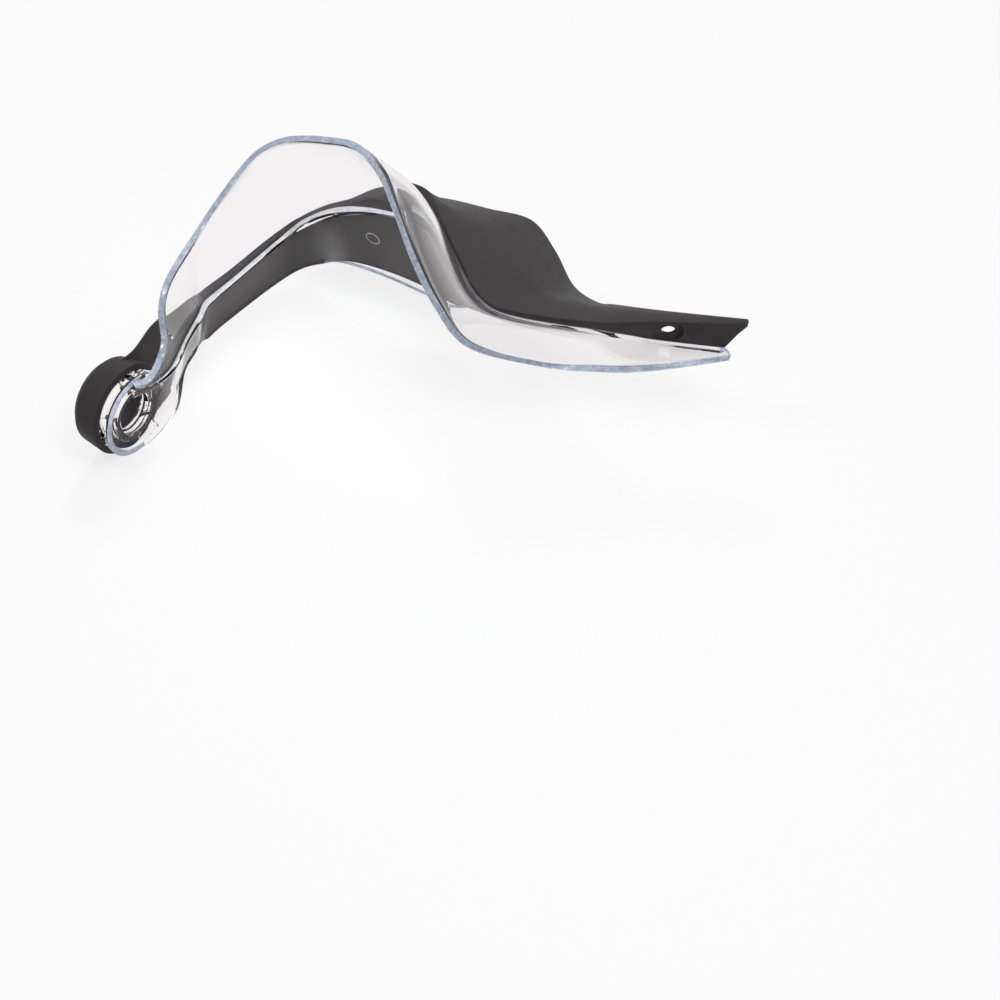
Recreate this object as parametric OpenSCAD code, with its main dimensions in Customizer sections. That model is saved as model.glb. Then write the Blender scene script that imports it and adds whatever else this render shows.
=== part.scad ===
// Motorcycle hand guard, left side: a moulded shell with a clear wind deflector nested in it.
// Millimetres. X points inward along the bar end, Y forward, Z up.
// The origin is the middle of the web that the bar end's bush clamps, on the ring's axis.

/* [Bar end ring] */
// Radius of the ring's outer rim
rim_radius = 18.1; // [16.5:0.1:22]
// Radius of the ring just inside the bevel
ring_radius = 21; // [19:0.1:26]
// Radius of the ring at its inner face, wider by the mould's draft
ring_base_radius = 22.5; // [20:0.1:28]
// Length of the ring along the bar
ring_length = 15.6; // [14:0.1:24]
// Length of the bevel on the outer rim
ring_bevel = 3.2; // [1:0.1:5]
// Radius of the outer recess that takes the bush's flange
recess_radius = 17.3; // [14:0.1:18]
// Depth of the outer recess
recess_depth = 9; // [5:0.1:10]
// Thickness of the web that the bush clamps
web_thickness = 3; // [2:0.1:4]
// Radius of the bore through the web
web_bore_radius = 13.6; // [8:0.1:14]
// Radius of the counterbore in the inner face
counterbore_radius = 18.3; // [15:0.1:19]

/* [Shell] */
// Wall thickness of the shell's upright band
shell_wall = 3; // [2:0.1:4]
// Thickness of the hood at its free edge
hood_wall = 3; // [2:0.1:4]
// Angle in degrees by which the moulding toes in from the bar's axis
toe_in = 7.7; // [0:0.1:12]
// Angle in degrees by which the moulding dips along the bar's axis
dip = 2.8; // [0:0.1:6]

/* [Fixing screw] */
// Diameter of the screw's hole near the inner tip
screw_hole = 6.4; // [4:0.1:8]
// Diameter of the shallow seat round the hole
screw_seat = 14; // [10:0.1:16]
// Depth of the seat
screw_seat_depth = 0.6; // [0.2:0.1:1.2]

/* [Clear deflector] */
// Thickness of the clear sheet
sheet = 3; // [2:0.1:4]
// Gap between the shell's inner face and the nested flange
nest_gap = 0.3; // [0.2:0.05:1]
// Radius of the cup's rim at the bar end
cup_radius = 20.8; // [19:0.1:24]
// Radius of the cup's back, where it sits on the ring's inner face
cup_base_radius = 19.8; // [18.6:0.1:22]
// Height of the cup's rim above its floor's back
cup_height = 6.6; // [5:0.1:12]
// Radius of the boss inside the cup
boss_radius = 14.2; // [12:0.1:16]
// Height of the boss above the floor's back
boss_height = 5.6; // [4:0.1:9]
// How far the boss reaches into the ring's counterbore
spigot = 1; // [0.5:0.1:2]
// Radius of the bore through the boss
lug_bore_radius = 10.6; // [8:0.1:12]

/* [Quality] */
// Steps between two stations of a rail
steps = 4; // [2:1:6]

/* [Hidden] */
$fn = 96;
overlap = 0.5;
web_face = recess_depth + web_thickness;
web_middle = recess_depth + web_thickness / 2;
// The ring's inner face, where the cup's floor seats
ring_face = ring_length;
// Where the moulding hangs on the ring, measured from the centre of the outer rim
hang = [2.4, 5.1, 1.5];

// The rails are measured square to the moulding and are turned onto the ring by seat().
// They run from the bar end round the front corner to the inner tip.
// Ridge: the shell's top edge, seen from the rider's side.
ridge = [
    [14, 21, 20.8], [10, 41, 17.5], [8.3, 58, 12.5], [11, 78, 10],
    [17, 96, 11], [27, 122, 16], [37, 137, 21], [49, 141.5, 28],
    [66, 140.5, 38], [88, 139.5, 51], [110, 132, 60.5], [126, 117, 58],
    [142, 100, 56], [158, 84, 52], [174, 80.5, 49.5], [206, 97, 40],
    [220, 106.5, 36.5], [234, 115, 34.5], [268, 132, 31]
];
// Crown: the soft crease that runs over the hood between ridge and lip
crown = [
    [10.5, 21, 16.5], [6, 41, 11], [4, 58, 6], [5.5, 78, 4],
    [11, 96, 4.5], [21, 124, 8], [32, 141, 13.5], [45, 149.5, 21],
    [64, 150.5, 31.5], [87, 150, 43], [112, 142, 51.5], [130, 136, 49.5],
    [148, 131, 46], [164, 117, 42], [180, 108, 39], [201, 112, 35.5],
    [214, 117, 34], [232, 121, 33.5], [267.5, 134, 31.2]
];
// Lip: the hood's outer edge, and the hard crease along the arm
lip = [
    [5.5, 22, 9], [2.5, 40, 2], [0.8, 58, -2.5], [1, 78, -4],
    [6, 95, -4], [17.5, 124.5, -3], [28.5, 143, 2], [42, 156.5, 11],
    [62, 159, 22], [85, 158, 31.5], [108, 158, 35.5], [128, 161, 33.5],
    [148, 166, 29], [165, 155, 24], [181.5, 138, 21], [197, 129, 23],
    [207, 127, 26.4], [230, 127, 30.5], [266, 136, 30.3]
];
// Fold: the line on the shell's inner face where its wall turns over towards the ridge
fold = [
    [16.5, 22, 7.5], [15, 41, 4.5], [11.5, 57, 0.5], [11, 78, 0.5],
    [16, 96, 3], [26.5, 121.5, 9.5], [35, 130.5, 14], [47, 132, 22.5],
    [66, 129, 35], [86, 125, 43.5], [109, 122, 48.5], [125.5, 114, 53],
    [141.5, 98.5, 52], [158, 84.5, 48], [174.5, 82.5, 44.5], [208, 100.5, 33.5],
    [220, 111, 26.5], [231.5, 117.5, 22], [260, 125.5, 20.5]
];
// Lower: the shell's lower edge, inner side
lower = [
    [9.5, 20, -19.8], [7.5, 42, -21], [6.5, 60, -23], [7, 80, -24.5],
    [12, 96, -23], [22, 125, -20], [32, 138, -15], [45.5, 142, -9.5],
    [66, 133, 3.5], [88, 134, 2.5], [111, 136, -3.5], [130, 134, -2],
    [147, 126, 9], [164, 116, 18], [182, 109, 23], [207, 110.5, 24.5],
    [219.5, 113.5, 22.5], [230, 118.5, 18.5], [258.5, 124.7, 17.5]
];
// How closed the space under the lip is: 1 is the arm's closed wedge, 0 the open hood
closure = [1, 1, 1, 1, 1, 1, 0.8, 0.45, 0.15, 0, 0, 0, 0, 0, 0, 0, 0, 0, 0];
// Free edge of the clear sheet, from the arm's middle on
free_edge = [
    [17, 77, 47.5], [23.7, 95, 60.5], [29.5, 108.5, 69.5], [37, 114, 76.5],
    [49.5, 117, 83], [67, 118.5, 86.7], [86, 116, 89.7], [106, 99.5, 92.8],
    [126, 76, 94.3], [146, 52.5, 92.5], [163, 40, 80.5], [177, 38, 66],
    [200, 53.5, 49.5], [218, 67, 41], [237, 84, 34], [264.7, 120, 21.2]
];
// Shell station beside which the sheet starts to nest
nest_from = 3;
// How far up the shelf above the fold the sheet lies before it stands up, station by station
shelf_share = [
    0.4, 0.4, 0.4, 0.4, 0.4, 0.4, 0.4, 0.4, 0.35, 0.35,
    0.55, 0.85, 0.9, 0.75, 0.4, 0.2, 0.15, 0.15, 0.15
];
// How far down the band the flange reaches, station by station
flange_reach = [
    0.88, 0.88, 0.88, 0.88, 0.88, 0.89, 0.92, 0.96, 1, 1.06,
    1.06, 0.95, 0.75, 0.6, 0.6, 0.6, 0.7, 0.7, 0.7
];
// How far the visor bellies out between its free edge and its bend, from the nest on
belly = [0, 0, 0.5, 1.5, 2.5, 3, 4, 5, 5, 4, 3, 2, 1, 0.5, 0.5, 0.3];
// Sections of the sheet's root, on the ring's own axes, as height over the ring's face, Y and Z
// Each goes from the free edge over the two bends down the web to the lip
root_sections = [
    [[6.6, 10.5, 17], [5.8, 10.5, 15.4], [4.4, 11, 12], [0.3, 12, -2], [0.3, 11, -18], [7, 10, -21]],
    [[1.6, 26, 21], [1.4, 27, 15.5], [1.9, 26, 3], [0.4, 27, -8], [-1.6, 27, -21.5], [3.5, 28, -21.5]],
    [[-3.2, 32.5, 33.5], [-5.6, 43, 11.5], [-4.6, 44.5, 2.5], [-6.6, 45, -9], [-10.6, 45, -21], [-6, 46, -17.5]],
    [[-7.4, 45, 42], [-11.1, 59, 7.5], [-9.8, 60, 1.5], [-11.2, 60, -10], [-14.6, 60, -21.5], [-11.8, 61, -20]]
];
// Share of the way from shell station to shell station at which the screw sits
screw_station = 17;
screw_along = 0.1;
screw_down = 0.42;

function unit(v) = v / norm(v);
function blend(a, b, t) = a + (b - a) * t;

// Turns a point of the moulding onto the ring's axes
function seat(p) =
    let (
        q = p - hang,
        x = q[0] * cos(toe_in) - q[1] * sin(toe_in),
        y = q[0] * sin(toe_in) + q[1] * cos(toe_in)
    )
    [x * cos(dip) - q[2] * sin(dip), y, x * sin(dip) + q[2] * cos(dip)];
function seated(rail) = [for (p = rail) seat(p)];

// A smooth curve through the points of a rail
function span_point(rail, i, t) =
    let (
        a = rail[max(i - 1, 0)],
        b = rail[i],
        c = rail[i + 1],
        d = rail[min(i + 2, len(rail) - 1)]
    )
    0.5 * (2 * b + (c - a) * t + (2 * a - 5 * b + 4 * c - d) * t * t + (3 * b - a - 3 * c + d) * t * t * t);
function smooth(rail) = [
    for (i = [0 : len(rail) - 2], j = [0 : steps - 1]) span_point(rail, i, j / steps),
    rail[len(rail) - 1]
];
function along(rail, i) = unit(rail[min(i + 1, len(rail) - 1)] - rail[max(i - 1, 0)]);

// Outward normal of the strip between two rails at sample i
function strip_normal(top, bottom, i) =
    unit(cross(along(top, i) + along(bottom, i), bottom[i] - top[i]));

// The shell's rails on the ring's axes, each led into the ring by a root point
shell_ridge = smooth(concat([[8, 3, 20.5]], seated(ridge)));
shell_crown = smooth(concat([[6, 3, 20.5]], seated(crown)));
shell_lip = smooth(concat([[3.5, 3, 19]], seated(lip)));
shell_fold = smooth(concat([[12, 3, 8]], seated(fold)));
shell_lower = smooth(concat([[6, 3, -20]], seated(lower)));
shell_closure = smooth(concat([1], closure));

// Where the sheet's bends and edge lie on the inner face, the same grid for both mouldings
shares = smooth(concat([shelf_share[0]], shelf_share));
reaches = smooth(concat([flange_reach[0]], flange_reach));
function face_bend(i) = blend(shell_fold[i], shell_ridge[i], shares[i]);
function face_web(i) = blend(shell_fold[i], shell_lower[i], 0.5 * reaches[i]);
function face_low(i) = blend(shell_fold[i], shell_lower[i], 0.9 * min(1, reaches[i]));
function face_edge(i) = blend(shell_fold[i], shell_lower[i], reaches[i]);

// One section of the shell: down the inner face, up the outer one, out along the hood and back
function shell_section(i) =
    let (
        b = shell_ridge[i],
        c = shell_crown[i],
        m = shell_lip[i],
        p = shell_fold[i],
        s = shell_lower[i],
        v = face_bend(i),
        w = face_web(i),
        l = face_low(i),
        shut = shell_closure[i],
        n = strip_normal(shell_fold, shell_lower, i),
        rise = unit(cross(along(shell_ridge, i), m - c)),
        s_out = s + n * shell_wall,
        p_out = p + n * shell_wall,
        root = b + n * shell_wall - rise * hood_wall,
        lip_under = m - rise * hood_wall,
        waist = blend(p_out, s_out, 0.85 * shut),
        hollow = blend(root, (waist + lip_under) / 2, shut)
    )
    [b, v, p, w, l, s, s_out, waist, hollow, lip_under, m, c];
shell_cap = [
    [4, 5, 6], [4, 6, 7], [3, 4, 7], [2, 3, 7], [2, 7, 8],
    [1, 2, 8], [0, 1, 8], [0, 8, 11], [11, 8, 9], [11, 9, 10]
];

// Closed loft through sections of the same number of points, with triangulated ends
function loft_faces(rows, k, cap) = concat(
    [for (t = cap) t],
    [for (i = [0 : rows - 2], j = [0 : k - 1]) [i * k + j, (i + 1) * k + j, (i + 1) * k + (j + 1) % k]],
    [for (i = [0 : rows - 2], j = [0 : k - 1]) [i * k + j, (i + 1) * k + (j + 1) % k, i * k + (j + 1) % k]],
    [for (t = cap) [for (v = [2 : -1 : 0]) (rows - 1) * k + t[v]]]
);
module loft(sections, cap) {
    k = len(sections[0]);
    polyhedron(
        points = [for (s = sections, p = s) p],
        faces = loft_faces(len(sections), k, cap),
        convexity = 8
    );
}

// Hood, arm and band as one lofted moulding
module shell_body() {
    loft([for (i = [0 : len(shell_ridge) - 1]) shell_section(i)], shell_cap);
}

// Drafted ring with the bevelled outer rim, turned about the bar's axis
module ring_blank() {
    rotate([0, 90, 0])
        rotate_extrude()
            polygon([
                [0, 0],
                [rim_radius, 0],
                [ring_radius, ring_bevel],
                [ring_base_radius, ring_length],
                [0, ring_length]
            ]);
}

module bar_cylinder(from, to, radius) {
    translate([from, 0, 0])
        rotate([0, 90, 0])
            cylinder(h = to - from, r = radius);
}

// Recess, bore and counterbore, all on the bar's axis
module ring_bores() {
    bar_cylinder(-overlap, recess_depth, recess_radius);
    bar_cylinder(-overlap, ring_face + overlap, web_bore_radius);
    bar_cylinder(web_face, ring_face + overlap, counterbore_radius);
}

// Seat of the fixing screw: on the band beside the inner tip, square to it
screw_top = seat(blend(ridge[screw_station], ridge[screw_station + 1], screw_along));
screw_low = seat(blend(lower[screw_station], lower[screw_station + 1], screw_along));
screw_run = seat(ridge[screw_station + 1]) - seat(ridge[screw_station - 1]);
screw_normal = unit(cross(screw_run, screw_low - screw_top));
screw_centre = blend(screw_top, screw_low, screw_down);

module along_vector(v) {
    turn = atan2(v[1], v[0]);
    tilt = acos(v[2] / norm(v));
    rotate([0, tilt, turn])
        children();
}

module guard_shell() {
    color([0.09, 0.09, 0.1])
    translate([-web_middle, 0, 0])
    difference() {
        union() {
            ring_blank();
            difference() {
                shell_body();
                bar_cylinder(ring_face, ring_face + 3 * shell_wall, ring_base_radius);
            }
        }
        ring_bores();
        translate(screw_centre - screw_normal * 4 * overlap)
            along_vector(screw_normal)
                cylinder(h = shell_wall + 8 * overlap, d = screw_hole);
        translate(screw_centre - screw_normal * 4 * overlap)
            along_vector(screw_normal)
                cylinder(h = screw_seat_depth + 4 * overlap, d = screw_seat);
    }
}

// Normal of a grid of points at row i and column j
function grid_normal(g, i, j) =
    let (
        run = g[min(i + 1, len(g) - 1)][j] - g[max(i - 1, 0)][j],
        fall = g[i][min(j + 1, len(g[i]) - 1)] - g[i][max(j - 1, 0)]
    )
    unit(cross(run, fall));

// A sheet of even thickness on the rider's side of a grid of points
module sheet_skin(g) {
    k = len(g[0]);
    sections = [
        for (i = [0 : len(g) - 1])
            concat(
                g[i],
                [for (j = [k - 1 : -1 : 0]) g[i][j] - grid_normal(g, i, j) * sheet]
            )
    ];
    cap = [
        for (j = [0 : k - 2], half = [0, 1])
            half == 0 ? [j, 2 * k - 1 - j, j + 1] : [j + 1, 2 * k - 1 - j, 2 * k - 2 - j]
    ];
    loft(sections, cap);
}

// Samples of the nested part: each lies off the shell's inner face by the nest gap
first = (nest_from + 1) * steps;
final = len(shell_ridge) - 1;
function band_off(i) = -nest_gap * strip_normal(shell_fold, shell_lower, i);
function shelf_off(i) = -nest_gap * strip_normal(shell_ridge, shell_fold, i);
root_top = [for (r = root_sections) r[0] + [ring_face, 0, 0]];
root_bend = [for (r = root_sections) r[1] + [ring_face, 0, 0]];
root_fold = [for (r = root_sections) r[2] + [ring_face, 0, 0]];
root_web = [for (r = root_sections) r[3] + [ring_face, 0, 0]];
root_low = [for (r = root_sections) r[4] + [ring_face, 0, 0]];
root_lip = [for (r = root_sections) r[5] + [ring_face, 0, 0]];
// Leads a rail from the root's points into the nested samples
function led(root, nested) =
    let (run = concat(root, [nested[0], nested[steps]]))
    concat([for (i = [0 : len(root) - 1], j = [0 : steps - 1]) span_point(run, i, j / steps)], nested);
sheet_top = smooth(concat(root_top, seated(free_edge)));
sheet_bend = led(root_bend, [for (i = [first : final]) face_bend(i) + shelf_off(i)]);
sheet_fold = led(root_fold, [for (i = [first : final]) shell_fold[i] + (shelf_off(i) + band_off(i)) / 1.6]);
sheet_web = led(root_web, [for (i = [first : final]) face_web(i) + band_off(i)]);
sheet_low = led(root_low, [for (i = [first : final]) face_low(i) + band_off(i)]);
sheet_lip = led(root_lip, [for (i = [first : final]) face_edge(i) + band_off(i)]);
sheet_belly = smooth(concat([0, 0, 0, 0], belly));

// Point between the free edge and the bend, pushed out by the belly
function visor_point(i, t) =
    blend(sheet_top[i], sheet_bend[i], t)
    + strip_normal(sheet_top, sheet_bend, i) * sheet_belly[i] * 4 * t * (1 - t);

module deflector_body() {
    sheet_skin([
        for (i = [0 : len(sheet_top) - 1]) [
            sheet_top[i],
            visor_point(i, 0.25),
            visor_point(i, 0.5),
            visor_point(i, 0.75),
            sheet_bend[i],
            sheet_fold[i],
            sheet_web[i],
            sheet_low[i],
            sheet_lip[i]
        ]
    ]);
}

// Cup that seats on the ring's inner face, open towards the flange
module cup() {
    bar_cylinder(ring_face, ring_face + sheet, cup_base_radius);
    difference() {
        translate([ring_face, 0, 0])
            rotate([0, 90, 0])
                cylinder(h = cup_height, r1 = cup_base_radius, r2 = cup_radius);
        bar_cylinder(ring_face + sheet, ring_face + cup_height + overlap, cup_radius - sheet);
        translate([ring_face + sheet, cup_radius / 2, -cup_radius])
            cube([cup_height, cup_radius, 2 * cup_radius]);
    }
}

module wind_deflector() {
    color([0.85, 0.9, 0.95, 0.45])
    translate([-web_middle, 0, 0])
    difference() {
        union() {
            deflector_body();
            cup();
            bar_cylinder(ring_face - spigot, ring_face + boss_height, boss_radius);
        }
        bar_cylinder(ring_face - 2 * spigot, ring_face + 2 * cup_height, lug_bore_radius);
    }
}

guard_shell();
wind_deflector();
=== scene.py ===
"""Looks of a left-hand motorcycle hand guard: a satin shell and the clear wind deflector nested in it."""
import logging
import math
from dataclasses import dataclass, field
from enum import Enum

import bmesh
import bpy
import numpy as np
from mathutils import Matrix, Vector


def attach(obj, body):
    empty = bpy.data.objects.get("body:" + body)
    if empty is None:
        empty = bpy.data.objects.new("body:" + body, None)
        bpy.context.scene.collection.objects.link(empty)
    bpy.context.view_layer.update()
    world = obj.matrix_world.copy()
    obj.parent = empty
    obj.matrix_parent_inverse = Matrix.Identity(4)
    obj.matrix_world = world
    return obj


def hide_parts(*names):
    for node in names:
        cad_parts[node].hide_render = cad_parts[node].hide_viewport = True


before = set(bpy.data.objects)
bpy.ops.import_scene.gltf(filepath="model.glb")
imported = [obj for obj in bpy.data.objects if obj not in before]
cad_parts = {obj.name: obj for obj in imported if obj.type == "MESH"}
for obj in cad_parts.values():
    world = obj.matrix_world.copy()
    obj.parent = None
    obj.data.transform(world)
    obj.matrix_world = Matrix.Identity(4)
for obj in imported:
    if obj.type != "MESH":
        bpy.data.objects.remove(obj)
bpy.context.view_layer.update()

log = logging.getLogger("hand_guard")

MM = 0.001
STEPS = 8
Array = np.ndarray


class SlotName(Enum):
    """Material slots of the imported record."""

    SHELL = "shell_plastic"
    SHEET = "clear_sheet"


class Dress(Enum):
    """Places of the deflector's finishes in its list of materials."""

    CLEAR = 0
    EDGE = 1
    # Clear finish with weaker reflection: painted shade on the flange, the visor's root and the cup.
    DIMMED_CLEAR = 2
    # Pale finish laid along the sheet's bends and on the pin mark: a painted highlight.
    PAINTED_HIGHLIGHT = 3


def unit(v: Array) -> Array:
    """Vectors of length one along the last axis."""
    return v / np.maximum(np.linalg.norm(v, axis=-1, keepdims=True), 1e-9)


def smooth(rail: Array, steps: int = STEPS) -> Array:
    """Smooth curve through the stations of a rail.

    Args:
        rail: one row per station.
        steps: samples from one station to the next.

    Returns:
        One row per sample, the stations among them.
    """
    rail = np.asarray(rail, float)
    out = []
    last = len(rail) - 1
    for i in range(last):
        a, b, c, d = rail[max(i - 1, 0)], rail[i], rail[i + 1], rail[min(i + 2, last)]
        for j in range(steps):
            t = j / steps
            out.append(0.5 * (2 * b + (c - a) * t + (2 * a - 5 * b + 4 * c - d) * t * t
                              + (3 * b - a - 3 * c + d) * t ** 3))
    out.append(rail[last])
    return np.array(out)


def along(rail: Array) -> Array:
    """Direction of travel at every sample of a rail."""
    ahead = np.concatenate([rail[1:], rail[-1:]])
    behind = np.concatenate([rail[:1], rail[:-1]])
    return unit(ahead - behind)


def strip_normal(top: Array, bottom: Array) -> Array:
    """Outward normal of the strip between two rails at every sample."""
    return unit(np.cross(along(top) + along(bottom), bottom - top))


def eased(points: Array, reach: list[float], arc: int = 3) -> tuple[Array, list[int]]:
    """Closed section with its corners rounded.

    Args:
        points: corners in order.
        reach: how far each corner's rounding reaches along its edges.
        arc: spans of each rounding.

    Returns:
        The rounded points, and for each of them the corner it belongs to.
    """
    out, owner = [], []
    n = len(points)
    for j in range(n):
        p, a, b = points[j], points[j - 1], points[(j + 1) % n]
        if reach[j] <= 0:
            out.append(p)
            owner.append(j)
            continue
        la, lb = np.linalg.norm(a - p), np.linalg.norm(b - p)
        d = min(reach[j], 0.46 * la, 0.46 * lb)
        p0 = p + (a - p) / max(la, 1e-9) * d
        p1 = p + (b - p) / max(lb, 1e-9) * d
        for k in range(arc + 1):
            t = k / arc
            out.append((1 - t) ** 2 * p0 + 2 * t * (1 - t) * p + t * t * p1)
            owner.append(j)
    return np.array(out), owner


def skin(name: str, sections: list[Array]) -> bpy.types.Object:
    """Closed mesh through sections of the same number of points, in millimetres.

    Args:
        name: name of the piece.
        sections: closed sections in order.

    Returns:
        The new object, in metres.
    """
    rows, k = len(sections), len(sections[0])
    points = [tuple(p * MM) for s in sections for p in s]
    faces = [(i * k + j, (i + 1) * k + j, (i + 1) * k + (j + 1) % k, i * k + (j + 1) % k)
             for i in range(rows - 1) for j in range(k)]
    faces.append(tuple(range(k)))
    faces.append(tuple((rows - 1) * k + j for j in range(k - 1, -1, -1)))
    mesh = bpy.data.meshes.new(name)
    mesh.from_pydata(points, [], faces)
    return linked(name, mesh)


def linked(name: str, mesh: bpy.types.Mesh) -> bpy.types.Object:
    """Object for a mesh, linked to the scene, with its normals facing out."""
    bm = bmesh.new()
    bm.from_mesh(mesh)
    bmesh.ops.recalc_face_normals(bm, faces=bm.faces)
    bm.to_mesh(mesh)
    bm.free()
    obj = bpy.data.objects.new(name, mesh)
    bpy.context.scene.collection.objects.link(obj)
    return obj


def turned(name: str, profile: list[tuple[float, float]], spans: int = 144,
           seam: tuple[int, float, float] | None = None) -> bpy.types.Object:
    """Body turned about the bar's axis from a closed profile.

    Args:
        name: name of the piece.
        profile: place along the axis and radius of each corner, in millimetres.
        spans: flats round the axis.
        seam: flat at which a mould's parting line stands out, how far, and from which radius.

    Returns:
        The new object, in metres.
    """
    k = len(profile)
    points, faces = [], []
    for i in range(spans):
        a = 2 * math.pi * i / spans
        for x, r in profile:
            if seam and i == seam[0] and r > seam[2]:
                r += seam[1]
            points.append((x * MM, r * math.cos(a) * MM, r * math.sin(a) * MM))
    for i in range(spans):
        n = (i + 1) % spans
        for j in range(k):
            m = (j + 1) % k
            faces.append((i * k + j, n * k + j, n * k + m, i * k + m))
    mesh = bpy.data.meshes.new(name)
    mesh.from_pydata(points, [], faces)
    bm = bmesh.new()
    bm.from_mesh(mesh)
    bmesh.ops.remove_doubles(bm, verts=bm.verts, dist=1e-7)
    bm.to_mesh(mesh)
    bm.free()
    return linked(name, mesh)


def rod(start: float, end: float, radius: float, name: str = "cutter") -> bpy.types.Object:
    """Plain rod about the bar's axis, in millimetres, for cutting."""
    return turned(name, [(start, 0.0), (start, radius), (end, radius), (end, 0.0)])


def combine(obj: bpy.types.Object, other: bpy.types.Object, way: str) -> None:
    """Joins or cuts one body with another and drops the other.

    Args:
        obj: body that is kept.
        other: body that is used up.
        way: UNION or DIFFERENCE.
    """
    mod = obj.modifiers.new(way.lower(), "BOOLEAN")
    mod.operation = way
    mod.object = other
    mod.solver = "EXACT"
    bpy.context.view_layer.update()
    done = bpy.data.meshes.new_from_object(obj.evaluated_get(bpy.context.evaluated_depsgraph_get()))
    obj.modifiers.remove(mod)
    obj.data = done
    bpy.data.objects.remove(other, do_unlink=True)


def closed(obj: bpy.types.Object) -> None:
    """Welds points that lie on each other and fills the slits left by cutting."""
    work = bmesh.new()
    work.from_mesh(obj.data)
    bmesh.ops.remove_doubles(work, verts=work.verts, dist=0.002 * MM)
    bmesh.ops.holes_fill(work, edges=[e for e in work.edges if len(e.link_faces) == 1], sides=8)
    work.to_mesh(obj.data)
    work.free()


def finish_mesh(obj: bpy.types.Object, angle: float = 32.0) -> None:
    """Smooth shading that keeps the edges sharper than an angle in degrees."""
    obj.data.shade_smooth()
    obj.data.set_sharp_from_angle(angle=math.radians(angle))


class Graph:
    """Small helper that lays out a material's nodes."""

    def __init__(self, name: str) -> None:
        """Starts an empty node tree."""
        self.material = bpy.data.materials.new(name)
        self.material.use_nodes = True
        self.tree = self.material.node_tree
        self.tree.nodes.clear()
        self.out = self.node("ShaderNodeOutputMaterial")

    def node(self, kind: str, **values: object) -> bpy.types.Node:
        """Adds a node and sets its properties."""
        made = self.tree.nodes.new(kind)
        for key, value in values.items():
            setattr(made, key, value)
        return made

    def link(self, a: bpy.types.NodeSocket, b: bpy.types.NodeSocket) -> None:
        """Links an output to an input."""
        self.tree.links.new(a, b)

    def noise(self, scale: float, detail: float = 2.0, rough: float = 0.5) -> bpy.types.Node:
        """Noise in the piece's own coordinates, its scale in cycles a metre."""
        where = self.node("ShaderNodeTexCoord")
        made = self.node("ShaderNodeTexNoise")
        self.link(where.outputs["Object"], made.inputs["Vector"])
        made.inputs["Scale"].default_value = scale
        made.inputs["Detail"].default_value = detail
        made.inputs["Roughness"].default_value = rough
        return made

    def spread(self, source: bpy.types.NodeSocket, low: float, high: float) -> bpy.types.NodeSocket:
        """Maps a value from 0.3 to 0.7 onto a range."""
        made = self.node("ShaderNodeMapRange")
        self.link(source, made.inputs["Value"])
        made.inputs["From Min"].default_value = 0.3
        made.inputs["From Max"].default_value = 0.7
        made.inputs["To Min"].default_value = low
        made.inputs["To Max"].default_value = high
        return made.outputs["Result"]


@dataclass(frozen=True)
class SatinShell:
    """Black moulded plastic with a fine, even grain."""

    colour: tuple[float, float, float] = (0.036, 0.0335, 0.0345)
    lighter: tuple[float, float, float] = (0.044, 0.041, 0.0415)
    gloss: float = 0.07
    roughness: tuple[float, float] = (0.42, 0.52)
    grain: float = 5200.0
    grain_depth: float = 0.00002

    def material(self) -> bpy.types.Material:
        """Builds the node material."""
        g = Graph("satin_shell_plastic")
        body = g.node("ShaderNodeBsdfPrincipled")
        broad = g.noise(38.0, 3.0)
        mix = g.node("ShaderNodeMix", data_type="RGBA")
        g.link(broad.outputs["Fac"], mix.inputs["Factor"])
        mix.inputs["A"].default_value = (*self.colour, 1)
        mix.inputs["B"].default_value = (*self.lighter, 1)
        g.link(mix.outputs["Result"], body.inputs["Base Color"])
        body.inputs["Specular IOR Level"].default_value = self.gloss
        g.link(g.spread(g.noise(120.0, 4.0).outputs["Fac"], *self.roughness), body.inputs["Roughness"])
        fine = g.noise(self.grain, 2.0, 0.6)
        bump = g.node("ShaderNodeBump")
        bump.inputs["Strength"].default_value = 0.35
        bump.inputs["Distance"].default_value = self.grain_depth
        g.link(fine.outputs["Fac"], bump.inputs["Height"])
        g.link(bump.outputs["Normal"], body.inputs["Normal"])
        g.link(body.outputs["BSDF"], g.out.inputs["Surface"])
        return g.material


@dataclass(frozen=True)
class ClearSheet:
    """Clear moulded plastic with a faint cool cast."""

    name: str = "clear_sheet_plastic"
    colour: tuple[float, float, float] = (0.925, 0.905, 0.915)
    mirror: float = 0.3
    roughness: float = 0.012
    ior: float = 1.46
    ripple: float = 26.0
    ripple_depth: float = 0.0006

    def material(self) -> bpy.types.Material:
        """Builds the node material."""
        g = Graph(self.name)
        body = g.node("ShaderNodeBsdfPrincipled")
        body.inputs["Base Color"].default_value = (*self.colour, 1)
        body.inputs["Roughness"].default_value = self.roughness
        body.inputs["IOR"].default_value = self.ior
        body.inputs["Specular Tint"].default_value = (self.mirror, self.mirror, self.mirror, 1)
        body.inputs["Transmission Weight"].default_value = 1.0
        bump = g.node("ShaderNodeBump")
        bump.inputs["Strength"].default_value = 0.25
        bump.inputs["Distance"].default_value = self.ripple_depth
        g.link(g.noise(self.ripple, 1.0).outputs["Fac"], bump.inputs["Height"])
        g.link(bump.outputs["Normal"], body.inputs["Normal"])
        through = g.node("ShaderNodeBsdfTransparent")
        through.inputs["Color"].default_value = (0.93, 0.94, 0.95, 1)
        path = g.node("ShaderNodeLightPath")
        mix = g.node("ShaderNodeMixShader")
        g.link(path.outputs["Is Shadow Ray"], mix.inputs["Fac"])
        g.link(body.outputs["BSDF"], mix.inputs[1])
        g.link(through.outputs["BSDF"], mix.inputs[2])
        g.link(mix.outputs["Shader"], g.out.inputs["Surface"])
        return g.material


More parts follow.
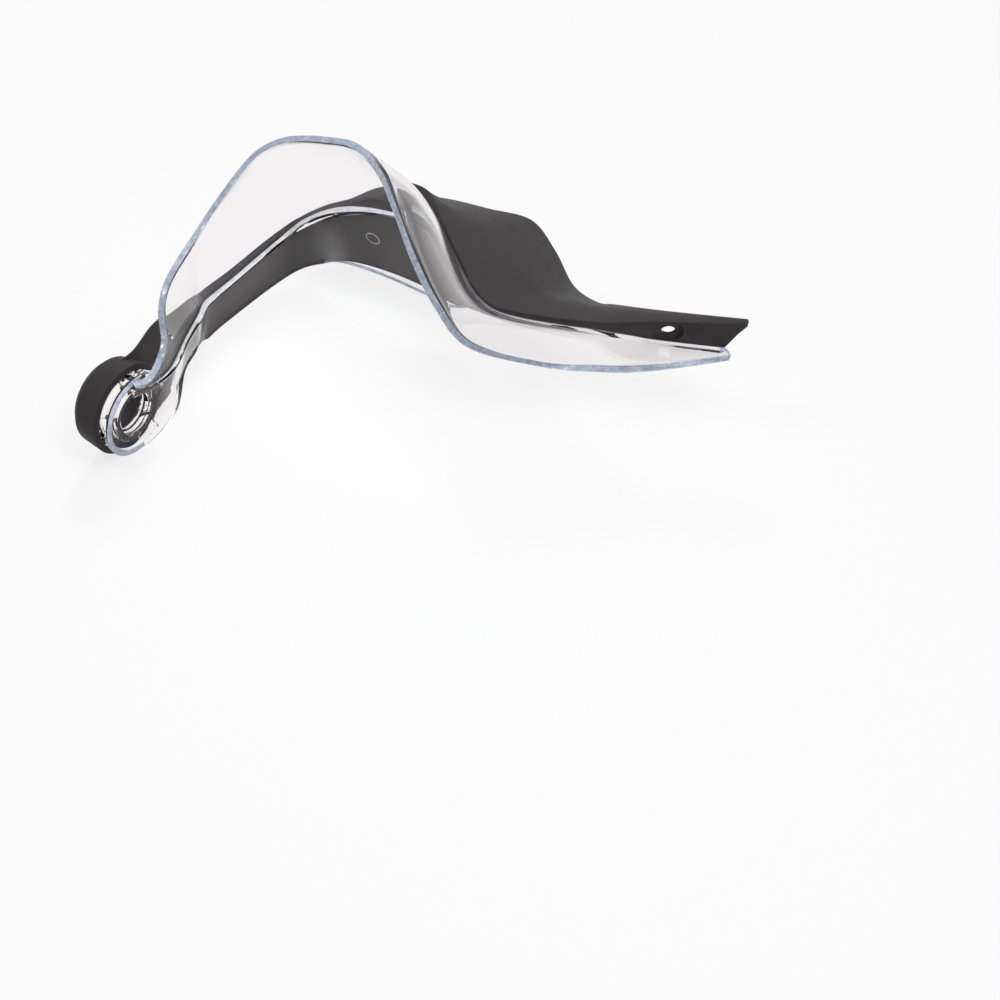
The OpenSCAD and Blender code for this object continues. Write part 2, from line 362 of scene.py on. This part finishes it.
@dataclass(frozen=True)
class CutEdge:
    """Edge of the clear sheet, pale blue-grey where light gathers in it."""

    name: str = "clear_sheet_edge"
    colour: tuple[float, float, float] = (0.30, 0.39, 0.58)
    lighter: tuple[float, float, float] = (0.74, 0.81, 0.93)
    roughness: tuple[float, float] = (0.10, 0.30)
    clearness: float = 0.35

    def material(self) -> bpy.types.Material:
        """Builds the node material."""
        g = Graph(self.name)
        body = g.node("ShaderNodeBsdfPrincipled")
        # Painted light: the pale blue-grey stands in for light gathered in the clear edge, and the lighter
        # speckles are painted glints.
        glint_speckle = g.noise(420.0, 4.0, 0.65)
        mix = g.node("ShaderNodeMix", data_type="RGBA")
        g.link(g.spread(glint_speckle.outputs["Fac"], 0.0, 1.0), mix.inputs["Factor"])
        mix.inputs["A"].default_value = (*self.colour, 1)
        mix.inputs["B"].default_value = (*self.lighter, 1)
        g.link(mix.outputs["Result"], body.inputs["Base Color"])
        g.link(g.spread(g.noise(300.0, 3.0).outputs["Fac"], *self.roughness), body.inputs["Roughness"])
        body.inputs["IOR"].default_value = 1.49
        body.inputs["Transmission Weight"].default_value = self.clearness
        bump = g.node("ShaderNodeBump")
        bump.inputs["Strength"].default_value = 0.3
        bump.inputs["Distance"].default_value = 0.0002
        g.link(g.noise(700.0, 3.0).outputs["Fac"], bump.inputs["Height"])
        g.link(bump.outputs["Normal"], body.inputs["Normal"])
        g.link(body.outputs["BSDF"], g.out.inputs["Surface"])
        return g.material


@dataclass
class Rails:
    """Stations of the mouldings' guiding lines, square to the moulding, in millimetres."""

    toe_in: float = 7.7
    dip: float = 2.8
    hang: tuple[float, float, float] = (2.4, 5.1, 1.5)
    web_middle: float = 10.5
    ring_face: float = 15.6
    ridge: list = field(default_factory=lambda: [
        (14, 21, 20.8), (10, 41, 17.5), (8.3, 58, 12.5), (11, 78, 10), (17, 96, 11), (27, 122, 16),
        (37, 137, 21), (49, 141.5, 28), (66, 140.5, 38), (88, 139.5, 53), (110, 132, 60.5),
        (126, 117, 58), (142, 100, 56), (158, 84, 52), (174, 80.5, 49.5), (206, 97, 40),
        (220, 106.5, 36.5), (234, 115, 34.5), (268, 132, 31)])
    crown: list = field(default_factory=lambda: [
        (10.5, 21, 16.5), (6, 41, 11), (4, 58, 6), (5.5, 78, 4), (11, 96, 4.5), (21, 124, 8),
        (32, 141, 13.5), (45, 149.5, 21), (64, 150.5, 31.5), (87, 149, 41.5), (112, 140.5, 48.2),
        (130, 135, 47.5), (148, 129.5, 42.8), (164, 117, 42), (180, 108, 39), (201, 112, 35.5),
        (214, 117, 34), (232, 121, 33.5), (267.5, 134, 31.2)])
    lip: list = field(default_factory=lambda: [
        (5.5, 22, 9), (2.5, 40, 2), (0.8, 58, -2.5), (1, 78, -4), (6, 95, -4), (17.5, 124.5, -3),
        (28.5, 143, 2), (42, 156.5, 11), (62, 159, 22), (85, 158, 31.5), (108, 158, 35.5),
        (128, 161, 33.5), (148, 166, 29), (165, 155, 24), (181.5, 138, 21), (197, 129, 23),
        (207, 127, 26.4), (230, 127, 30.5), (266, 136, 30.3)])
    fold: list = field(default_factory=lambda: [
        (16.5, 22, 7.5), (15, 41, 4.5), (11.5, 57, 0.5), (11, 78, 0.5), (16, 96, 3), (26.5, 121.5, 9.5),
        (35, 130.5, 14), (47, 132, 22.5), (66, 129, 35), (86, 125, 43.5), (109, 122, 48.5),
        (125.5, 114, 53), (141.5, 98.5, 52), (158, 84.5, 48), (174.5, 82.5, 44.5), (208, 100.5, 32.7),
        (220, 111, 25), (231.5, 117.5, 20.4), (259.4, 125.3, 18.6)])
    lower: list = field(default_factory=lambda: [
        (12.5, 21, -22.6), (11.6, 42, -23.9), (9.6, 60, -24.3), (8.2, 80, -24.3), (12, 96, -23), (22, 125, -20),
        (32, 138, -15), (45.5, 142, -9.5), (66, 133, 3.5), (88, 134, 2.5), (111, 136, -3.5),
        (130, 134, -2), (147, 126, 9), (164, 116, 18), (182, 109, 23), (207, 110.5, 24.5),
        (219.5, 113.5, 22), (230, 118.5, 17.8), (257.2, 124.5, 15.8)])
    free_edge: list = field(default_factory=lambda: [
        (17, 77, 47.5), (23.7, 95, 60.5), (29.5, 108.5, 69.5), (37, 114, 76.5), (49.5, 117, 83),
        (67, 118.5, 86.7), (86, 116, 89.7), (106, 99.5, 92.8), (126, 76, 94.3), (146, 52.5, 92.5),
        (163, 40, 80.5), (177, 38.6, 66), (200, 55.5, 49.5), (218, 70, 41), (237, 86, 34),
        (264.7, 120, 21.2)])
    closure: list = field(default_factory=lambda: [
        1, 1, 1, 1, 1, 1, 0.8, 0.45, 0.15, 0, 0, 0, 0, 0, 0, 0, 0, 0, 0])
    shares: list = field(default_factory=lambda: [
        0.4, 0.4, 0.4, 0.4, 0.4, 0.4, 0.4, 0.4, 0.35, 0.35, 0.45, 0.5, 0.45, 0.4, 0.27, 0.12, 0.07, 0.07, 0.07])
    reaches: list = field(default_factory=lambda: [
        0.88, 0.88, 0.88, 0.88, 0.88, 0.89, 0.92, 0.96, 1, 1.06, 1.06, 0.95, 0.75, 0.6, 0.6, 0.6, 0.7, 0.7, 0.7])
    belly: list = field(default_factory=lambda: [0, 0, 0.5, 1.5, 2.5, 3, 4, 5, 5, 4, 3, 2, 1, 0.5, 0.5, 0.3])
    ledge: list = field(default_factory=lambda: [
        2.6, 2.6, 2.6, 2.6, 2.6, 2.6, 2.7, 2.8, 2.8, 2.4, 1.4, 0.5, 0.2, 0, 0, 0, 0, 0, 0])

    def seated(self, rail: list) -> Array:
        """Turns a rail's stations onto the row's axes."""
        q = np.asarray(rail, float) - np.array(self.hang)
        t, d = math.radians(self.toe_in), math.radians(self.dip)
        x = q[:, 0] * math.cos(t) - q[:, 1] * math.sin(t)
        y = q[:, 0] * math.sin(t) + q[:, 1] * math.cos(t)
        return np.stack([x * math.cos(d) - q[:, 2] * math.sin(d) - self.web_middle, y,
                         x * math.sin(d) + q[:, 2] * math.cos(d)], axis=1)

    def led(self, root: tuple[float, float, float], rail: list) -> Array:
        """Smooth seated rail that starts at a root point beside the ring."""
        first = np.array([root]) - np.array([[self.web_middle, 0, 0]])
        return smooth(np.concatenate([first, self.seated(rail)]))


@dataclass
class BarEndRing:
    """Drafted ring at the bar end, with its recess, web and counterbore."""

    rim_radius: float = 18.1
    bevel_radius: float = 21.0
    base_radius: float = 22.5
    length: float = 15.6
    bevel: float = 3.2
    recess_radius: float = 17.3
    recess_depth: float = 9.0
    web_thickness: float = 3.0
    bore_radius: float = 13.6
    counterbore_radius: float = 18.3
    web_middle: float = 10.5

    def blank(self, name: str, shrink: float = 0.0, stretch: float = 0.0) -> bpy.types.Object:
        """Outer form of the ring, optionally a little smaller, for cutting."""
        x0 = -self.web_middle
        return turned(name, [(x0 + shrink, 0.0), (x0 + shrink, self.rim_radius - shrink),
                             (x0 + self.bevel, self.bevel_radius - shrink),
                             (x0 + self.length + stretch, self.base_radius - shrink),
                             (x0 + self.length + stretch, 0.0)])

    def build(self, finish: bpy.types.Material) -> bpy.types.Object:
        """Builds and dresses the ring."""
        x0 = -self.web_middle
        web_out, web_in = x0 + self.recess_depth, x0 + self.recess_depth + self.web_thickness
        end = x0 + self.length
        e = 0.35
        profile = [
            (x0 + e, self.rim_radius - 0.1), (x0 + 0.1, self.rim_radius - 0.35), (x0, self.rim_radius - 0.5),
            (x0 + 0.15, self.recess_radius + 0.12), (x0 + e, self.recess_radius),
            (web_out - 0.4, self.recess_radius), (web_out, self.recess_radius - 0.4),
            (web_out, self.bore_radius + 0.3), (web_out + 0.3, self.bore_radius),
            (web_in - 0.3, self.bore_radius), (web_in, self.bore_radius + 0.3),
            (web_in, self.counterbore_radius - 0.4), (web_in + 0.4, self.counterbore_radius),
            (end - 0.4, self.counterbore_radius), (end, self.counterbore_radius + 0.4),
            (end, self.base_radius - 0.6), (end - 0.15, self.base_radius - 0.15),
            (end - 0.6, self.base_radius - 0.05),
            (x0 + self.bevel + 1.0, self.bevel_radius + 0.1), (x0 + self.bevel + 0.3, self.bevel_radius - 0.08),
            (x0 + self.bevel - 0.4, self.bevel_radius - 0.5)]
        obj = turned("bar_end_ring", profile, 180, (60, 0.09, 17.5))
        obj.data.materials.append(finish)
        finish_mesh(obj, 24.0)
        return obj


@dataclass
class ShellMoulding:
    """Arm, upright band and hood of the shell as one moulding."""

    rails: Rails
    ring: BarEndRing
    wall: float = 3.0
    hood: float = 3.0
    crown_at: tuple[float, ...] = (0.0, 7.0, 10.0, 19.0)
    crown_reach: tuple[float, ...] = (1.5, 1.8, 6.5, 6.5)
    screw_hole: float = 6.4
    screw_seat: float = 14.0
    seat_depth: float = 0.6

    def sections(self) -> list[Array]:
        """Rounded sections from the ring to the inner tip."""
        r = self.rails
        ridge, crown = r.led((8, 3, 20.5), r.ridge), r.led((6, 3, 20.5), r.crown)
        lip, fold = r.led((3.5, 3, 19), r.lip), r.led((12, 3, 8), r.fold)
        lower = r.led((6, 3, -20), r.lower)
        shut = smooth(np.array([[1.0]] + [[c] for c in r.closure]))
        n = strip_normal(fold, lower)
        rise = unit(np.cross(along(ridge), lip - crown))
        low_out, fold_out = lower + n * self.wall, fold + n * self.wall
        root = ridge + n * self.wall - rise * self.hood
        under = lip - rise * self.hood
        waist = fold_out + (low_out - fold_out) * 0.85 * shut
        hollow = root + ((waist + under) / 2 - root) * shut
        reach = [1.1, 2.6, 0.5, 0.9, 2.0, 3.0, 0.5, 1.1, 6.5]
        out = []
        ease = np.interp(np.arange(len(ridge)) / STEPS, self.crown_at, self.crown_reach)
        for i in range(len(ridge)):
            reach[-1] = float(ease[i])
            corners = np.array([ridge[i], fold[i], lower[i], low_out[i], waist[i], hollow[i], under[i], lip[i], crown[i]])
            out.append(eased(corners, reach)[0])
        return out

    def screw_place(self) -> tuple[Vector, Vector]:
        """Middle of the screw's hole on the inner face, and the way through it."""
        ridge, lower = self.rails.seated(self.rails.ridge), self.rails.seated(self.rails.lower)
        top = ridge[17] + (ridge[18] - ridge[17]) * 0.1
        low = lower[17] + (lower[18] - lower[17]) * 0.1
        way = unit(np.cross(ridge[18] - ridge[16], low - top))
        return Vector(top + (low - top) * 0.42) * MM, Vector(way)

    def drill(self, obj: bpy.types.Object, diameter: float, start: float, end: float) -> None:
        """Cuts a round hole along the screw's way, from start to end in millimetres."""
        place, way = self.screw_place()
        turn = way.to_track_quat("X", "Z").to_matrix().to_4x4()
        cutter = rod(start, end, diameter / 2)
        cutter.data.transform(Matrix.Translation(place) @ turn)
        combine(obj, cutter, "DIFFERENCE")

    def build(self, finish: bpy.types.Material) -> bpy.types.Object:
        """Builds and dresses the moulding."""
        obj = skin("guard_moulding", self.sections())
        combine(obj, self.ring.blank("ring_cutter", 0.4, 9.0), "DIFFERENCE")
        self.drill(obj, self.screw_hole, -2.0, 5.0)
        self.drill(obj, self.screw_seat, -2.0, self.seat_depth)
        obj.data.materials.clear()
        obj.data.materials.append(finish)
        finish_mesh(obj)
        return obj


@dataclass
class WindDeflector:
    """Clear sheet with its nested flange, its visor and the cup at the bar end."""

    rails: Rails
    sheet: float = 3.0
    gap: float = 0.3
    nest_from: int = 3
    bend_corner: int = 8
    ledge_corner: int = 10
    cup_radius: float = 20.8
    cup_base_radius: float = 19.8
    cup_height: float = 6.6
    boss_radius: float = 14.2
    boss_height: float = 5.6
    spigot: float = 1.0
    bore_radius: float = 10.6
    mark_radius: float = 3.5
    mark_place: tuple[float, float, float] = (52.4, 129.8, 29.9)
    mark_way: tuple[float, float, float] = (0.087, -0.976, -0.198)
    root: list = field(default_factory=lambda: [
        [(6.4, 0, 20.4), (5.8, 0, 19.4), (5.0, 0, 16.5), (4.4, 0, 14.5), (0.3, 0, 0), (0.3, 0, -17.5),
         (6.4, 0, -21.5)],
        [(6.6, 10.5, 17), (5.8, 10.5, 15.4), (4.8, 10.8, 12.4), (4.9, 11, 9.8), (0.3, 12, -2), (0.3, 11, -18),
         (7, 10, -21)],
        [(1.6, 26, 21), (1.4, 27, 15.5), (1.4, 26, 5.4), (4.0, 26, 4.9), (0.4, 27, -8), (-1.6, 27, -21.5),
         (3.5, 28, -21.5)],
        [(-3.2, 32.5, 33.5), (-5.6, 43, 11.5), (-5.3, 44.5, 4.6), (-2.7, 44.5, 4.1), (-6.6, 45, -9),
         (-10.6, 45, -21), (-6, 46, -17.5)],
        [(-7.4, 45, 42), (-11.1, 59, 7.5), (-10.4, 60, 3.6), (-7.8, 60, 3.1), (-11.2, 60, -10),
         (-14.6, 60, -21.5), (-11.8, 61, -20)]])

    def lines(self) -> tuple[list[Array], Array]:
        """Lines of the sheet's outer face from free edge to lip, and the visor's belly."""
        r = self.rails
        ridge, fold, lower = (r.led(p, q) for p, q in (((8, 3, 20.5), r.ridge), ((12, 3, 8), r.fold),
                                                       ((6, 3, -20), r.lower)))
        first = (self.nest_from + 1) * STEPS
        share = smooth(np.array([[v] for v in [r.shares[0]] + r.shares]))
        reach = smooth(np.array([[v] for v in [r.reaches[0]] + r.reaches]))
        band, shelf = -self.gap * strip_normal(fold, lower), -self.gap * strip_normal(ridge, fold)
        ledge = smooth(np.array([[v] for v in [r.ledge[0]] + r.ledge]))
        level = unit(-strip_normal(fold, lower) * np.array([1.0, 1.0, 0.0]))
        inner = fold + (ridge - fold) * 0.05 * ledge + (shelf + band) / 1.6
        nested = [fold + (ridge - fold) * share + shelf, inner,
                  inner + level * ledge + unit(lower - fold) * 0.5,
                  fold + (lower - fold) * 0.5 * reach + band,
                  fold + (lower - fold) * 0.9 * np.minimum(1, reach) + band,
                  fold + (lower - fold) * reach + band]
        shift = np.array([r.ring_face - r.web_middle, 0, 0])
        heads = [np.array([s[c] for s in self.root]) + shift for c in range(7)]
        lines = [smooth(np.concatenate([heads[0], r.seated(r.free_edge)]))]
        for head, line in zip(heads[1:], nested):
            line = line[first:]
            run = np.concatenate([head, line[:1], line[STEPS:STEPS + 1]])
            lines.append(np.concatenate([smooth(run)[:len(head) * STEPS], line]))
        belly = smooth(np.array([[0.0]] * len(self.root) + [[b] for b in r.belly]))
        return lines, belly

    def corners(self) -> list[Array]:
        """Corners of the outer face in every section, the bellied visor among them."""
        lines, belly = self.lines()
        free, bend = lines[0], lines[1]
        push = strip_normal(free, bend) * belly
        visor = [free + (bend - free) * t + push * 4 * t * (1 - t) for t in np.linspace(0, 1, 9)[:-1]]
        grid = np.stack(visor + lines[1:], axis=1)
        return grid

    def body(self) -> bpy.types.Object:
        """Builds the sheet itself, with its cut edges in a material of their own."""
        grid = self.corners()
        run = np.stack([along(grid[:, j]) for j in range(grid.shape[1])], axis=1)
        ahead = unit(np.diff(grid, axis=1))
        before = np.concatenate([ahead[:, :1], ahead], axis=1)
        after = np.concatenate([ahead, ahead[:, -1:]], axis=1)
        fall = unit(before + after)
        normal = unit(np.cross(run, fall))
        square = unit(np.cross(run, after))
        cosine = np.clip(np.sum(normal * square, axis=-1, keepdims=True), 0.8, 1)
        inner = grid - normal * self.sheet / cosine
        k = grid.shape[1]
        ring = np.concatenate([grid, inner[:, ::-1]], axis=1)
        reach = [0.2] + [0.0] * 7 + [2.4, 0.8, 1.0, 0.0, 1.5, 0.2]
        reach = reach + [0.2, 1.5, 0.0, 1.1, 0.9, 3.0] + [0.0] * 7 + [0.2]
        sections = []
        owner: list[int] = []
        for row in ring:
            points, owner = eased(row, reach)
            sections.append(points)
        obj = skin("wind_deflector_sheet", sections)
        edge = []
        n = len(owner)
        for j in range(n):
            pair = {owner[j], owner[(j + 1) % n]}
            edge.append(pair <= {0, 2 * k - 1} or pair <= {k - 1, k})
        arm = (len(self.root) + 4) * STEPS
        rim = range(arm, arm + 5 * STEPS)
        flags = [edge[j] and (i in rim or owner[j] in (0, 2 * k - 1))
                 for i in range(len(sections) - 1) for j in range(n)] + [True, True]
        flags[-2] = False
        fold_highlight = {2 * k - 1 - self.ledge_corner, 2 * k - self.ledge_corner}
        bend = 2 * k - self.bend_corner - 1
        ridge = (len(self.root) + 7) * STEPS
        nested = set(range(self.bend_corner, 2 * k - self.bend_corner))
        for at, (poly, flag) in enumerate(zip(obj.data.polygons, flags)):
            i, j = divmod(at, n)
            pair = {owner[j], owner[(j + 1) % n]}
            if flag:
                poly.material_index = Dress.EDGE.value
            elif at >= n * (len(sections) - 1):
                poly.material_index = Dress.CLEAR.value
            # Painted highlight: faces along the ledge's bend, and along the wing's bend past the ridge, take the
            # pale fold finish; the wing bend's upper row takes the pale blue edge finish.
            elif pair == fold_highlight and STEPS < i < arm + 3 * STEPS:
                poly.material_index = Dress.PAINTED_HIGHLIGHT.value
            elif pair in ({bend}, {self.bend_corner}) and i >= ridge:
                upper = pair == {bend} and owner[(j + 2) % n] != bend
                poly.material_index = Dress.EDGE.value if upper else Dress.PAINTED_HIGHLIGHT.value
            # Painted shade: the flange and the visor's first stations take the clear finish with weaker
            # reflection, so they look darker.
            elif pair <= nested or i < 2 * STEPS + STEPS // 2:
                poly.material_index = Dress.DIMMED_CLEAR.value
            else:
                poly.material_index = Dress.CLEAR.value
        return obj

    def cup(self) -> bpy.types.Object:
        """Cup that sits on the ring's inner face, with its boss."""
        x0 = self.rails.ring_face - self.rails.web_middle
        obj = turned("deflector_cup", [
            (x0, 0.0), (x0, self.cup_base_radius - 0.8), (x0 + 0.8, self.cup_base_radius),
            (x0 + self.cup_height - 0.5, self.cup_radius), (x0 + self.cup_height, self.cup_radius - 0.5),
            (x0 + self.cup_height, self.cup_radius - self.sheet + 0.5),
            (x0 + self.cup_height - 0.5, self.cup_radius - self.sheet),
            (x0 + self.sheet + 1.5, self.cup_radius - self.sheet - 0.2),
            (x0 + self.sheet, self.cup_radius - self.sheet - 1.5), (x0 + self.sheet, 0.0)])
        gate = bpy.data.meshes.new("gate")
        low, high = x0 + self.sheet, x0 + self.cup_height + 1
        y0, y1, z = self.cup_radius / 2, self.cup_radius + 2, self.cup_radius + 1
        gate.from_pydata([(x * MM, y * MM, w * MM) for x in (low, high) for y in (y0, y1) for w in (-z, z)], [],
                         [(0, 1, 3, 2), (4, 6, 7, 5), (0, 4, 5, 1), (2, 3, 7, 6), (0, 2, 6, 4), (1, 5, 7, 3)])
        combine(obj, linked("gate", gate), "DIFFERENCE")
        boss = turned("boss", [
            (x0 - self.spigot, 0.0), (x0 - self.spigot, self.boss_radius - 0.3),
            (x0 - self.spigot + 0.3, self.boss_radius), (x0 + self.boss_height - 0.6, self.boss_radius),
            (x0 + self.boss_height, self.boss_radius - 0.6), (x0 + self.boss_height, 0.0)])
        combine(obj, boss, "UNION")
        return obj

    def mark(self) -> bpy.types.Object:
        """Fine raised ring that a moulding pin leaves on the flange."""
        r = self.mark_radius
        obj = turned("pin_mark", [(-0.5, r - 0.15), (0.2, r - 0.15), (0.2, r + 0.15), (-0.5, r + 0.15)])
        turn = Vector(self.mark_way).to_track_quat("X", "Z").to_matrix().to_4x4()
        obj.data.transform(Matrix.Translation(Vector(self.mark_place) * MM) @ turn)
        return obj

    def build(self, finishes: list[bpy.types.Material]) -> bpy.types.Object:
        """Builds and dresses the deflector.

        Args:
            finishes: its materials, in the order of Dress.

        Returns:
            The finished piece.
        """
        obj = self.body()
        cup, mark = self.cup(), self.mark()
        cup.data.materials.clear()
        mark.data.materials.clear()
        for piece in (obj, cup, mark):
            for finish in finishes:
                piece.data.materials.append(finish)
        top = (self.rails.ring_face - self.rails.web_middle + self.cup_height - 0.8) * MM
        # The cup's rim takes the edge finish. The rest takes the weaker-reflecting clear finish as painted shade.
        for poly in cup.data.polygons:
            rim = poly.center.x > top and abs(poly.normal.x) > 0.3 and poly.center.y < 0.25 * self.cup_radius * MM
            poly.material_index = Dress.EDGE.value if rim else Dress.DIMMED_CLEAR.value
        # The pin mark takes the pale fold finish as a painted highlight.
        for poly in mark.data.polygons:
            poly.material_index = Dress.PAINTED_HIGHLIGHT.value
        combine(obj, mark, "UNION")
        combine(obj, cup, "UNION")
        x0 = self.rails.ring_face - self.rails.web_middle
        combine(obj, rod(x0 - 3, x0 + 14, self.bore_radius), "DIFFERENCE")
        closed(obj)
        obj.name = "wind_deflector_clear"
        for at, finish in enumerate(finishes):
            if at < len(obj.data.materials):
                obj.data.materials[at] = finish
            else:
                obj.data.materials.append(finish)
        finish_mesh(obj)
        return obj


@dataclass
class Studio:
    """Pale floor, soft lights and the camera at the photograph's angle."""

    camera_place: tuple[float, float, float] = (0.44165, -0.39302, 0.57972)
    right: tuple[float, float, float] = (0.84826654, 0.52942031, 0.01257018)
    down: tuple[float, float, float] = (0.40421572, -0.63195676, -0.66124149)
    ahead: tuple[float, float, float] = (-0.34213086, 0.5659901, -0.75006778)
    lens: float = 63.806
    floor_level: float = -0.0268

    def camera(self) -> None:
        """Creates the camera and makes it the scene's."""
        data = bpy.data.cameras.new("camera")
        data.lens = self.lens
        data.sensor_width = 36.0
        data.clip_start, data.clip_end = 0.01, 50.0
        cam = bpy.data.objects.new("camera", data)
        r, d, a = Vector(self.right), Vector(self.down), Vector(self.ahead)
        turn = Matrix((r, -d, -a)).transposed().to_4x4()
        cam.matrix_world = Matrix.Translation(self.camera_place) @ turn
        bpy.context.scene.collection.objects.link(cam)
        bpy.context.scene.camera = cam

    def floor(self) -> None:
        """Lays the floor, which shows white and keeps the shadow."""
        mesh = bpy.data.meshes.new("floor")
        s, z = 6.0, self.floor_level
        mesh.from_pydata([(-s, -s, z), (s, -s, z), (s, s, z), (-s, s, z)], [], [(0, 1, 2, 3)])
        obj = linked("floor", mesh)
        g = Graph("pale_floor")
        body = g.node("ShaderNodeBsdfDiffuse")
        body.inputs["Color"].default_value = (0.86, 0.86, 0.86, 1)
        glow = g.node("ShaderNodeEmission")
        glow.inputs["Color"].default_value = (1, 1, 1, 1)
        path = g.node("ShaderNodeLightPath")
        any_ray = g.node("ShaderNodeMath", operation="MAXIMUM")
        g.link(path.outputs["Is Camera Ray"], any_ray.inputs[0])
        clear_ray = g.node("ShaderNodeMath", operation="MAXIMUM")
        shiny = g.node("ShaderNodeMath", operation="MULTIPLY")
        shiny.inputs[1].default_value = 0.25
        g.link(path.outputs["Is Glossy Ray"], shiny.inputs[0])
        g.link(shiny.outputs[0], clear_ray.inputs[0])
        g.link(path.outputs["Is Transmission Ray"], clear_ray.inputs[1])
        g.link(clear_ray.outputs[0], any_ray.inputs[1])
        share = g.node("ShaderNodeMath", operation="MULTIPLY")
        share.inputs[1].default_value = 0.75
        g.link(any_ray.outputs[0], share.inputs[0])
        mix = g.node("ShaderNodeMixShader")
        g.link(share.outputs[0], mix.inputs["Fac"])
        g.link(body.outputs["BSDF"], mix.inputs[1])
        g.link(glow.outputs["Emission"], mix.inputs[2])
        g.link(mix.outputs["Shader"], g.out.inputs["Surface"])
        obj.data.materials.append(g.material)

    def world(self) -> None:
        """Soft light from all round, white where it is seen."""
        world = bpy.data.worlds.new("studio")
        bpy.context.scene.world = world
        world.use_nodes = True
        tree = world.node_tree
        tree.nodes.clear()
        out = tree.nodes.new("ShaderNodeOutputWorld")
        soft, seen = tree.nodes.new("ShaderNodeBackground"), tree.nodes.new("ShaderNodeBackground")
        soft.inputs["Color"].default_value = (1, 1, 1, 1)
        soft.inputs["Strength"].default_value = 0.25
        seen.inputs["Color"].default_value = (1, 1, 1, 1)
        seen.inputs["Strength"].default_value = 1.0
        path = tree.nodes.new("ShaderNodeLightPath")
        any_ray = tree.nodes.new("ShaderNodeMath")
        any_ray.operation = "MAXIMUM"
        tree.links.new(path.outputs["Is Camera Ray"], any_ray.inputs[0])
        tree.links.new(path.outputs["Is Transmission Ray"], any_ray.inputs[1])
        shiny_ray = tree.nodes.new("ShaderNodeMath")
        shiny_ray.operation = "MAXIMUM"
        tree.links.new(any_ray.outputs[0], shiny_ray.inputs[0])
        tree.links.new(path.outputs["Is Glossy Ray"], shiny_ray.inputs[1])
        mix = tree.nodes.new("ShaderNodeMixShader")
        tree.links.new(shiny_ray.outputs[0], mix.inputs["Fac"])
        tree.links.new(soft.outputs["Background"], mix.inputs[1])
        tree.links.new(seen.outputs["Background"], mix.inputs[2])
        tree.links.new(mix.outputs["Shader"], out.inputs["Surface"])

    def lamp(self, name: str, place: tuple[float, float, float], target: tuple[float, float, float],
             size: float, power: float) -> None:
        """Adds a square soft light that faces a point.

        Args:
            name: name of the light.
            place: where it hangs, in metres.
            target: the point that it faces.
            size: side of its square, in metres.
            power: its power in watts.
        """
        data = bpy.data.lights.new(name, "AREA")
        data.size = size
        data.energy = power
        lamp = bpy.data.objects.new(name, data)
        aim = Vector(target) - Vector(place)
        lamp.matrix_world = Matrix.Translation(place) @ aim.to_track_quat("-Z", "Y").to_matrix().to_4x4()
        bpy.context.scene.collection.objects.link(lamp)

    def build(self) -> None:
        """Sets up everything round the object."""
        self.camera()
        self.floor()
        self.world()
        middle = (0.1, 0.08, 0.02)
        self.lamp("key", (0.62, -0.10, 1.05), middle, 0.5, 6.5)
        self.lamp("fill", (-0.34, -0.38, 1.08), middle, 0.22, 3.2)
        self.lamp("back", (-0.33, 0.80, 0.98), middle, 0.24, 5.0)
        view = bpy.context.scene.view_settings
        view.view_transform = "Standard"


def main() -> None:
    """Builds the guard's pieces in order and dresses them."""
    logging.basicConfig(level=logging.INFO, format="%(name)s: %(message)s")
    Studio().build()
    log.info("studio ready")
    rails = Rails()
    ring = BarEndRing()
    satin = SatinShell().material()
    ring_piece = ring.build(satin)
    log.info("bar end ring: %d faces", len(ring_piece.data.polygons))
    shell = ShellMoulding(rails, ring).build(satin)
    log.info("shell moulding: %d faces", len(shell.data.polygons))
    # A copy of the clear finish with weaker reflection: painted shade for the flange, the visor's root and the
    # cup.
    nested = ClearSheet(name="clear_sheet_dimmed", ior=1.24, ripple_depth=0.0003)
    # The fold line finish is a painted highlight: a pale, half-clear copy of the edge finish that marks the
    # sheet's bends and the pin mark.
    fold_highlight = CutEdge(name="clear_sheet_fold_line", colour=(0.44, 0.46, 0.51), lighter=(0.78, 0.79, 0.83),
                        roughness=(0.08, 0.2), clearness=0.3)
    deflector = WindDeflector(rails).build([finish.material() for finish in (ClearSheet(), CutEdge(), nested,
                                                                             fold_highlight)])
    log.info("wind deflector: %d faces", len(deflector.data.polygons))
    for piece, node, name in ((ring_piece, "guard_shell", SlotName.SHELL), (shell, "guard_shell", SlotName.SHELL),
                              (deflector, "wind_deflector", SlotName.SHEET)):
        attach(piece, "root")
        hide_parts(node)
    log.info("boxes written")


if __name__ == "__main__":
    main()
